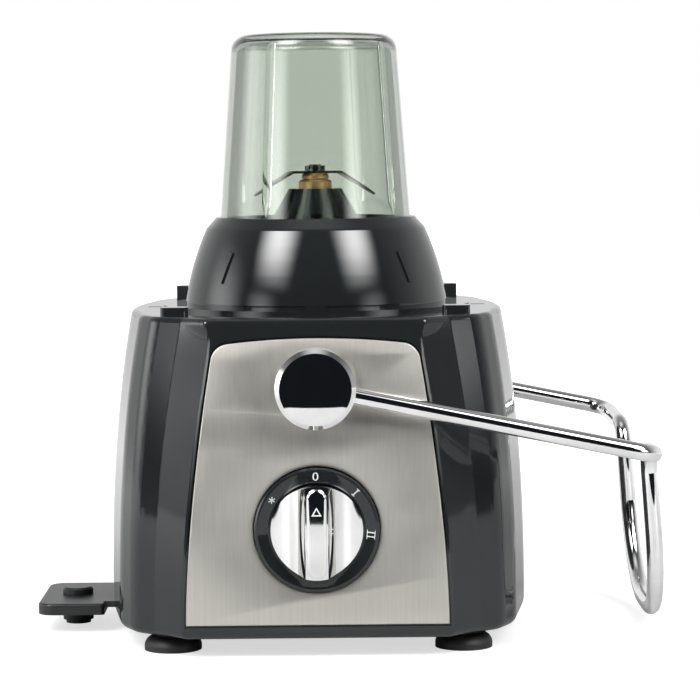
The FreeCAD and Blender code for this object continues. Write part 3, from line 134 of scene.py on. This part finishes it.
def metal(name, colour, roughness, spread, grain_scale, depth, grain_stretch=(1.0, 1.0, 1.0), tone=0.07):
    """Metal with a grain in its tone, sheen and relief; a stretched grain is a brushed one."""
    material, tree, shader = new_material(name)
    grain_detail = 6.0
    grain_strength = 0.25
    shader.inputs["Metallic"].default_value = 1.0
    grain = object_pattern(tree, grain_scale, grain_stretch, grain_detail)
    lighter = tuple(min(channel * (1.0 + tone), 1.0) for channel in colour)
    darker = tuple(channel * (1.0 - tone) for channel in colour)
    two_tone(tree, grain, shader.inputs["Base Color"], darker, lighter)
    between(tree, grain, shader.inputs["Roughness"], roughness - spread, roughness + spread)
    relief(tree, shader, grain, grain_strength, depth)
    return material


brushed_steel = metal(
    "brushed_steel", (0.60, 0.585, 0.54), roughness=0.42, spread=0.03, grain_scale=1300.0, depth=0.000005,
    grain_stretch=(1.0, 1.0, 0.012), tone=0.03)


def merged_copy(node):
    """Welded working copy of a CAD node's mesh with its flat faces joined up."""
    weld_distance = 0.000001
    flat_angle = 0.01
    shape = bmesh.new()
    shape.from_mesh(nodes[node].data)
    bmesh.ops.remove_doubles(shape, verts=shape.verts, dist=weld_distance)
    bmesh.ops.dissolve_limit(shape, angle_limit=flat_angle, verts=shape.verts, edges=shape.edges)
    return shape


def new_piece(name, shape, material, body, smooth_deg=30.0):
    """Piece from a finished bmesh: placed at the origin, dressed and riding on its body."""
    mesh = bpy.data.meshes.new(name)
    shape.to_mesh(mesh)
    shape.free()
    mesh.shade_smooth()
    mesh.set_sharp_from_angle(angle=math.radians(smooth_deg))
    mesh.materials.append(material)
    piece = bpy.data.objects.new(name, mesh)
    bpy.context.scene.collection.objects.link(piece)
    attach(piece, body)
    return piece


def front_rim(edge):
    """True for an edge between the sheet's front and one of its cut sides."""
    faces_forward = -0.7
    faces_aside = -0.5
    if len(edge.link_faces) != 2:
        return False
    slants = [face.normal.y for face in edge.link_faces]
    return min(slants) < faces_forward and max(slants) > faces_aside


panel_edge = 0.0006
panel = merged_copy("front_steel_panel")
rim = [edge for edge in panel.edges if front_rim(edge)]
bmesh.ops.bevel(panel, geom=rim, offset=panel_edge, segments=2, profile=0.5, affect="EDGES", material=-1,
                clamp_overlap=False)
steel_sheet = new_piece("steel_front_sheet", panel, brushed_steel, "base")
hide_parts("front_steel_panel")

# ---------------------------------------------------------------- dial marks and pointer
# White printed marks on the dial ring's sloping face: off, two speeds and a pulse star, and the small
# outlined triangle on the knob's bar. They are thin raised prints.
print_white = moulded_plastic(
    "print_white", dark=(0.70, 0.71, 0.70), light=(0.80, 0.81, 0.80),
    gloss=0.35, matt=0.45, grain=900.0, grain_depth=0.00001)
print_height = 0.00004
dial_low, dial_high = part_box("dial_ring")
dial_x = (dial_low[0] + dial_high[0]) / 2
dial_z = (dial_low[2] + dial_high[2]) / 2
mark_radius = 0.0249
face_fall = 0.0014
face_width = 0.0047
face_slope = math.atan(face_fall / face_width)
face_start_radius = 0.0272


def bar(shape, x, y, width, height, turn_deg=0.0):
    """Thin upright bar of print, centred on a point of the mark's own plane."""
    made = bmesh.ops.create_cube(shape, size=1.0)["verts"]
    bmesh.ops.scale(shape, verts=made, vec=(width, height, print_height * 2))
    turn = Matrix.Rotation(math.radians(turn_deg), 3, "Z")
    bmesh.ops.rotate(shape, verts=made, cent=(0.0, 0.0, 0.0), matrix=turn)
    bmesh.ops.translate(shape, verts=made, vec=(x, y, 0.0))


def corner_rank(face):
    """Number made of a face's corners, so that extruded walls lie in the same order each run."""
    rank_step = 1000
    rank = 0
    for corner in sorted(vert.index for vert in face.verts):
        rank = rank * rank_step + corner
    return rank


def outline(shape, sides, outer, inner, outer_squeeze=1.0, inner_squeeze=1.0):
    """Closed printed outline between two loops, each squeezed in width, with its thickness."""
    loops = []
    for radius, squeeze in ((outer, outer_squeeze), (inner, inner_squeeze)):
        made = bmesh.ops.create_circle(shape, cap_ends=False, segments=sides, radius=radius)["verts"]
        bmesh.ops.scale(shape, verts=made, vec=(squeeze, 1.0, 1.0))
        loops += [edge for edge in shape.edges if set(edge.verts) <= set(made)]
    flat = bmesh.ops.bridge_loops(shape, edges=loops)["faces"]
    raised = bmesh.ops.extrude_face_region(shape, geom=flat)["geom"]
    bmesh.ops.translate(shape, verts=[item for item in raised if isinstance(item, bmesh.types.BMVert)],
                        vec=(0.0, 0.0, print_height))
    bmesh.ops.recalc_face_normals(shape, faces=shape.faces)
    shape.verts.index_update()
    shape.faces.sort(key=corner_rank)


def dial_place(turn_deg):
    """Placement of a mark on the sloping face, turned clockwise from the top."""
    turn = math.radians(turn_deg)
    outward = Vector((math.sin(turn), 0.0, math.cos(turn)))
    along = Vector((math.cos(turn), 0.0, -math.sin(turn)))
    forward = Vector((0.0, -1.0, 0.0))
    rising = outward * math.cos(face_slope) + forward * math.sin(face_slope)
    normal = forward * math.cos(face_slope) - outward * math.sin(face_slope)
    depth = dial_low[1] + (face_start_radius - mark_radius) * math.tan(face_slope)
    spot = Vector((dial_x, depth, dial_z)) + outward * mark_radius
    return Matrix.Translation(spot) @ Matrix((along, rising, normal)).transposed().to_4x4()


def print_glyph(glyph, turn_deg):
    """Puts a finished glyph on the dial's face and adds it to the other marks."""
    bmesh.ops.transform(glyph, verts=glyph.verts, matrix=dial_place(turn_deg))
    mesh = bpy.data.meshes.new("glyph")
    glyph.to_mesh(mesh)
    glyph.free()
    marks.from_mesh(mesh)
    bpy.data.meshes.remove(mesh)


serif_thickness = 0.0003
mark_height = 0.0040
stem_width = 0.00045
stem_offset = 0.00095
one_serif_width = 0.0018
two_serif_width = 0.0042
zero_height = 0.0040
zero_line = 0.0003
zero_sides = 40
zero_outer_squeeze = 0.66
zero_inner_squeeze = 0.46
star_width = 0.0032
star_line = 0.00036
pulse_turn = -55.5
off_turn = -1.0
speed_one_turn = 46.0
speed_two_turn = 95.0
marks = bmesh.new()
for turn_deg, stems, serif_width in ((speed_one_turn, (0.0,), one_serif_width),
                                     (speed_two_turn, (-stem_offset, stem_offset), two_serif_width)):
    speed = bmesh.new()
    for x in stems:
        bar(speed, x, 0.0, stem_width, mark_height - serif_thickness)
    for side in (-1, 1):
        bar(speed, 0.0, side * (mark_height - serif_thickness) / 2, serif_width, serif_thickness)
    print_glyph(speed, turn_deg)
zero = bmesh.new()
outline(zero, zero_sides, zero_height / 2, zero_height / 2 - zero_line,
        zero_outer_squeeze, zero_inner_squeeze)
print_glyph(zero, off_turn)
star = bmesh.new()
for arm_deg in (0.0, 60.0, 120.0):
    bar(star, 0.0, 0.0, star_line, star_width, arm_deg)
print_glyph(star, pulse_turn)
new_piece("dial_marks", marks, print_white, "base")

pointer_rise = 0.0097
pointer_outer = 0.0027
pointer_inner = 0.0017
knob_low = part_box("speed_knob")[0]
pointer = bmesh.new()
outline(pointer, 3, pointer_outer, pointer_inner)
upright = Matrix.Rotation(math.radians(90.0), 3, "X")
bmesh.ops.rotate(pointer, verts=pointer.verts, cent=(0.0, 0.0, 0.0), matrix=upright)
bmesh.ops.translate(pointer, verts=pointer.verts, vec=(dial_x, knob_low[1], dial_z + pointer_rise))
new_piece("knob_pointer", pointer, print_white, "knob")

# ---------------------------------------------------------------- shelf and feet
# The pulp container's side shelf, screwed to the bottom cover, and the small inner mouldings are satin
# black ABS. The four suction feet, the shelf's foot, the grommets and the seals are black rubber, pressed
# or clamped in place.
satin_black = moulded_plastic(
    "satin_black_abs", dark=(0.011, 0.012, 0.013), light=(0.016, 0.017, 0.018),
    gloss=0.30, matt=0.40, grain=420.0, grain_depth=0.00004)
dress(satin_black, "side_shelf", "shelf_stud", "rotary_switch", "microswitch", "brush_holders",
      "drive_coupling", "driven_coupling", "cooling_fan", "cord_gland")
black_rubber = moulded_plastic(
    "black_rubber", dark=(0.008, 0.008, 0.009), light=(0.013, 0.013, 0.014),
    gloss=0.5, matt=0.65, grain=500.0, grain_depth=0.00006)
dress(black_rubber, "foot_front_left", "foot_front_right", "foot_rear_left", "foot_rear_right",
      "shelf_foot", "mount_grommets", "shaft_seal", "mill_seal")

# ---------------------------------------------------------------- chrome pieces
# Locking handle of bent round bar, held in the caps on its two pivots, and the speed knob.
# All are polished and chrome plated.
chrome = metal(
    "mirror_chrome", (0.86, 0.86, 0.86), roughness=0.03, spread=0.01, grain_scale=60.0, depth=0.00001)
dress(chrome, "handle_bar", "pivot_cap_front", "pivot_cap_rear", "speed_knob")

# ---------------------------------------------------------------- mill
# Smoky clear cup of moulded plastic with four inner ribs, locked on the collar by its lugs.
# Inside it a bent steel blade on a spindle turns in a sintered bronze bushing.


def clear_plastic(name, tint, edge_tint):
    """Tinted clear plastic that darkens where the wall is seen along its depth.

    Its low index keeps thick spots from going black; the coat gives it a hard plastic's gloss.
    """
    material, tree, shader = new_material(name)
    drift_scale = 5.0
    clear_until = 0.12
    body_ior = 1.22
    coat_ior = 1.5
    polish = 0.02
    facing = tree.nodes.new("ShaderNodeLayerWeight")
    facing.inputs["Blend"].default_value = 0.5
    wall = tree.nodes.new("ShaderNodeValToRGB")
    wall.color_ramp.elements[0].position = clear_until
    wall.color_ramp.elements[0].color = (*tint, 1.0)
    wall.color_ramp.elements[1].position = 1.0
    wall.color_ramp.elements[1].color = (*edge_tint, 1.0)
    tree.links.new(facing.outputs["Facing"], wall.inputs["Fac"])
    drift = tree.nodes.new("ShaderNodeMixRGB")
    drift.blend_type = "MULTIPLY"
    drift.inputs["Fac"].default_value = 1.0
    two_tone(tree, object_pattern(tree, drift_scale), drift.inputs["Color2"],
             (0.97, 0.97, 0.97), (1.0, 1.0, 1.0))
    tree.links.new(wall.outputs["Color"], drift.inputs["Color1"])
    tree.links.new(drift.outputs["Color"], shader.inputs["Base Color"])
    shader.inputs["Transmission Weight"].default_value = 1.0
    shader.inputs["Roughness"].default_value = polish
    shader.inputs["IOR"].default_value = body_ior
    shader.inputs["Coat Weight"].default_value = 1.0
    shader.inputs["Coat Roughness"].default_value = polish
    shader.inputs["Coat IOR"].default_value = coat_ior
    return material


smoky_clear = clear_plastic("smoky_clear", tint=(0.72, 0.77, 0.705), edge_tint=(0.10, 0.13, 0.11))
dress(smoky_clear, "mill_cup")
bronze = metal(
    "sintered_bronze", (0.72, 0.47, 0.24), roughness=0.46, spread=0.06, grain_scale=700.0, depth=0.00003)
dress(bronze, "blade_bushing", "blade_spacer")
dark_steel = metal(
    "dark_blade_steel", (0.16, 0.16, 0.16), roughness=0.30, spread=0.05, grain_scale=500.0, depth=0.00002)
dress(dark_steel, "mill_blade", "blade_nut", "blade_spindle")

# ---------------------------------------------------------------- bearings, pins and plunger
# Ground steel shaft, bearings and pivot pins, with natural nylon bushings round the pins.
# The cream safety plunger in the deck is the same nylon.
ground_steel = metal(
    "ground_steel", (0.50, 0.50, 0.50), roughness=0.26, spread=0.06, grain_scale=500.0, depth=0.00003)
dress(ground_steel, "motor_shaft", "lower_bearing", "upper_bearing",
      "pivot_pin_front", "pivot_pin_rear", "switch_spindle", "brush_springs")
natural_nylon = moulded_plastic(
    "natural_nylon", dark=(0.62, 0.56, 0.42), light=(0.70, 0.64, 0.50),
    gloss=0.35, matt=0.45, grain=300.0, grain_depth=0.00003)
dress(natural_nylon, "pivot_bushing_front", "pivot_bushing_rear", "interlock_plunger")

# ---------------------------------------------------------------- motor
# Copper coils on stacked electrical steel between two cast brackets, with pressed carbon brushes.
# Zinc plated screws hold it, the cover and the shelf.
zinc = metal(
    "zinc_plate", (0.56, 0.57, 0.58), roughness=0.36, spread=0.05, grain_scale=400.0, depth=0.00002)
dress(zinc, "bottom_screws", "shelf_screws", "mount_screws", "motor_bolts")
copper = metal(
    "enamelled_copper", (0.60, 0.28, 0.14), roughness=0.34, spread=0.06, grain_scale=900.0, depth=0.00008,
    grain_stretch=(1.0, 1.0, 3.0))
dress(copper, "field_coils", "armature_windings", "commutator", "switch_terminals")
laminations = metal(
    "stacked_steel", (0.20, 0.20, 0.21), roughness=0.48, spread=0.08, grain_scale=1400.0, depth=0.00006,
    grain_stretch=(0.05, 0.05, 1.0))
dress(laminations, "motor_stator", "armature_core")
cast_metal = metal(
    "die_cast", (0.52, 0.52, 0.53), roughness=0.50, spread=0.06, grain_scale=500.0, depth=0.00006)
dress(cast_metal, "lower_motor_bracket", "upper_motor_bracket")
carbon = moulded_plastic(
    "pressed_carbon", dark=(0.02, 0.02, 0.02), light=(0.04, 0.04, 0.04),
    gloss=0.5, matt=0.7, grain=800.0, grain_depth=0.00005)
dress(carbon, "carbon_brushes")

# ---------------------------------------------------------------- table
# Wide plain white table that starts a little in front of the juicer and runs far behind it.
# It keeps the shadow; far off and to the sides it brightens into the white surroundings.
table_front = -0.57
table_half = 4.0
table_grey = (0.54, 0.54, 0.54, 1.0)
table_sheen = 0.5
table_specular = 0.2
table_mesh = bpy.data.meshes.new("table_top")
plane = bmesh.new()
bmesh.ops.create_grid(plane, x_segments=1, y_segments=1, size=table_half)
bmesh.ops.translate(plane, verts=plane.verts, vec=(0.0, table_half + table_front, 0.0))
plane.to_mesh(table_mesh)
plane.free()
table = bpy.data.objects.new("table_top", table_mesh)
bpy.context.scene.collection.objects.link(table)
table_paint, tree, shader = new_material("table_paint")
shader.inputs["Base Color"].default_value = table_grey
shader.inputs["Roughness"].default_value = table_sheen
shader.inputs["Specular IOR Level"].default_value = table_specular


def math_node(tree, operation, first, second):
    """Math node fed by sockets or plain numbers."""
    node = tree.nodes.new("ShaderNodeMath")
    node.operation = operation
    for index, value in enumerate((first, second)):
        if isinstance(value, bpy.types.NodeSocket):
            tree.links.new(value, node.inputs[index])
        else:
            node.inputs[index].default_value = value
    return node.outputs["Value"]


def range_node(tree, value, from_min, from_max, to_min, to_max):
    """Map Range node from one span of a value to another."""
    node = tree.nodes.new("ShaderNodeMapRange")
    node.inputs["From Min"].default_value = from_min
    node.inputs["From Max"].default_value = from_max
    node.inputs["To Min"].default_value = to_min
    node.inputs["To Max"].default_value = to_max
    tree.links.new(value, node.inputs["Value"])
    return node.outputs["Result"]


def straight_view(tree, seen):
    """1 for rays from the camera, straight or through clear plastic, that met no mirror on the way."""
    unmirrored = math_node(tree, "LESS_THAN", seen["Glossy Depth"], 0.5)
    through = math_node(tree, "MULTIPLY", seen["Transmission Depth"], unmirrored)
    return math_node(tree, "MINIMUM", math_node(tree, "MAXIMUM", seen["Is Camera Ray"], through), 1.0)


glow_middle_x = 0.25
glow_side_share = 0.8
glow_start = 0.35
glow_full = 1.30
near_glow = 0.64
far_glow = 0.65
seen = tree.nodes.new("ShaderNodeLightPath").outputs
straight = straight_view(tree, seen)
mirrored = math_node(tree, "MAXIMUM", straight, seen["Is Glossy Ray"])
axes = tree.nodes.new("ShaderNodeSeparateXYZ")
tree.links.new(tree.nodes.new("ShaderNodeTexCoord").outputs["Object"], axes.inputs["Vector"])
sideways = math_node(tree, "ABSOLUTE", math_node(tree, "SUBTRACT", axes.outputs["X"], glow_middle_x), 0.0)
away = math_node(tree, "ADD", axes.outputs["Y"], math_node(tree, "MULTIPLY", sideways, glow_side_share))
far = range_node(tree, away, glow_start, glow_full, 0.0, far_glow)
near_level = math_node(tree, "MULTIPLY", straight, near_glow)
far_level = math_node(tree, "MULTIPLY", mirrored, far)
glow = tree.nodes.new("ShaderNodeEmission")
tree.links.new(math_node(tree, "ADD", near_level, far_level), glow.inputs["Strength"])
both = tree.nodes.new("ShaderNodeAddShader")
tree.links.new(shader.outputs["BSDF"], both.inputs[0])
tree.links.new(glow.outputs["Emission"], both.inputs[1])
tree.links.new(both.outputs["Shader"], tree.nodes["Material Output"].inputs["Surface"])
table.data.materials.append(table_paint)

# ---------------------------------------------------------------- surroundings
# White backdrop for whatever is seen directly. The gloss mirrors a room that is dark in front and light
# behind, and dimmer overhead than at table height.
room_dark = (0.008, 0.009, 0.011, 1.0)
room_light = (0.88, 0.88, 0.88, 1.0)
light_from_y = -0.38
light_full_y = 0.42
dimmer_from_z = 0.25
dimmest_z = 0.80
overhead_share = 0.30
world = bpy.data.worlds.new("studio")
bpy.context.scene.world = world
world.use_nodes = True
sky = world.node_tree
split = sky.nodes.new("ShaderNodeSeparateXYZ")
sky.links.new(sky.nodes.new("ShaderNodeTexCoord").outputs["Generated"], split.inputs["Vector"])
depth_share = range_node(sky, split.outputs["Y"], light_from_y, light_full_y, 0.0, 1.0)
height_share = range_node(sky, split.outputs["Z"], dimmer_from_z, dimmest_z, 1.0, overhead_share)
room = sky.nodes.new("ShaderNodeValToRGB")
room.color_ramp.elements[0].position = 0.0
room.color_ramp.elements[0].color = room_dark
room.color_ramp.elements[1].position = 1.0
room.color_ramp.elements[1].color = room_light
sky.links.new(math_node(sky, "MULTIPLY", depth_share, height_share), room.inputs["Fac"])
mirrored_room = sky.nodes["Background"]
sky.links.new(room.outputs["Color"], mirrored_room.inputs["Color"])
backdrop = sky.nodes.new("ShaderNodeBackground")
backdrop.inputs["Color"].default_value = (1.0, 1.0, 1.0, 1.0)
choose = sky.nodes.new("ShaderNodeMixShader")
sky.links.new(straight_view(sky, sky.nodes.new("ShaderNodeLightPath").outputs), choose.inputs["Fac"])
sky.links.new(mirrored_room.outputs["Background"], choose.inputs[1])
sky.links.new(backdrop.outputs["Background"], choose.inputs[2])
sky.links.new(choose.outputs["Shader"], sky.nodes["World Output"].inputs["Surface"])

# ---------------------------------------------------------------- lamps
# Soft boxes that fade to their edges: a high and a low one on each side of the camera, one far to the
# left and one overhead.


def soft_box(name, place, aim_height, width, height, radiance):
    """Rectangular lamp turned to face the juicer, brightest in the middle and fading to its edges."""
    fade = 2.4
    lamp = bpy.data.lights.new(name, "AREA")
    lamp.shape = "RECTANGLE"
    lamp.size = width
    lamp.size_y = height
    lamp.energy = math.pi * width * height * radiance
    lamp.use_nodes = True
    tree = lamp.node_tree
    across = tree.nodes.new("ShaderNodeSeparateXYZ")
    tree.links.new(tree.nodes.new("ShaderNodeNewGeometry").outputs["Parametric"], across.inputs["Vector"])
    level = 1.0
    for axis in ("X", "Y"):
        offset = math_node(tree, "MULTIPLY", math_node(tree, "SUBTRACT", across.outputs[axis], 0.5), 2.0)
        hill = math_node(tree, "SUBTRACT", 1.0, math_node(tree, "MULTIPLY", offset, offset))
        hill = math_node(tree, "MAXIMUM", hill, 0.0)
        level = math_node(tree, "MULTIPLY", level, math_node(tree, "POWER", hill, fade))
    tree.links.new(level, tree.nodes["Emission"].inputs["Strength"])
    holder = bpy.data.objects.new(name, lamp)
    bpy.context.scene.collection.objects.link(holder)
    holder.location = place
    aim = Vector((0.0, 0.0, aim_height)) - Vector(place)
    holder.rotation_euler = aim.to_track_quat("-Z", "Y").to_euler()
    holder.visible_camera = False


high_level = 19.0
low_level = 5.0
far_left_level = 3.0
top_level = 0.7
pair_aim = 0.15
single_aim = 0.10
for side, turned, share in (("left", -1.0, 1.0), ("right", 1.06, 0.92)):
    soft_box("box_high_" + side, (0.97 * turned, -1.06, 1.40), pair_aim, width=1.50, height=1.70,
             radiance=high_level * share)
    soft_box("box_low_" + side, (1.08 * turned, -0.95, 0.36), pair_aim, width=0.95, height=0.66,
             radiance=low_level * share)
soft_box("box_far_left", (-1.60, 0.0, 0.40), single_aim, width=1.6, height=1.3, radiance=far_left_level)
soft_box("box_top", (0.0, -0.05, 1.60), single_aim, width=1.6, height=1.2, radiance=top_level)

# ---------------------------------------------------------------- camera
# Long lens almost straight in front of the juicer. It stands a little above the deck, tilted down, with
# a trace of pan and roll.
camera_place = (0.010, -1.310, 0.235)
camera_tilt_deg = 4.38
camera_roll = 0.009
camera_pan = -0.0056
lens_length_mm = 136.3
sensor_width_mm = 36.0
lens_view = bpy.data.cameras.new("camera")
lens_view.lens = lens_length_mm
lens_view.sensor_width = sensor_width_mm
camera = bpy.data.objects.new("camera", lens_view)
bpy.context.scene.collection.objects.link(camera)
camera.location = camera_place
camera.rotation_euler = (math.radians(90.0 - camera_tilt_deg), camera_roll, camera_pan)
bpy.context.scene.camera = camera
bpy.context.scene.view_settings.view_transform = "Standard"
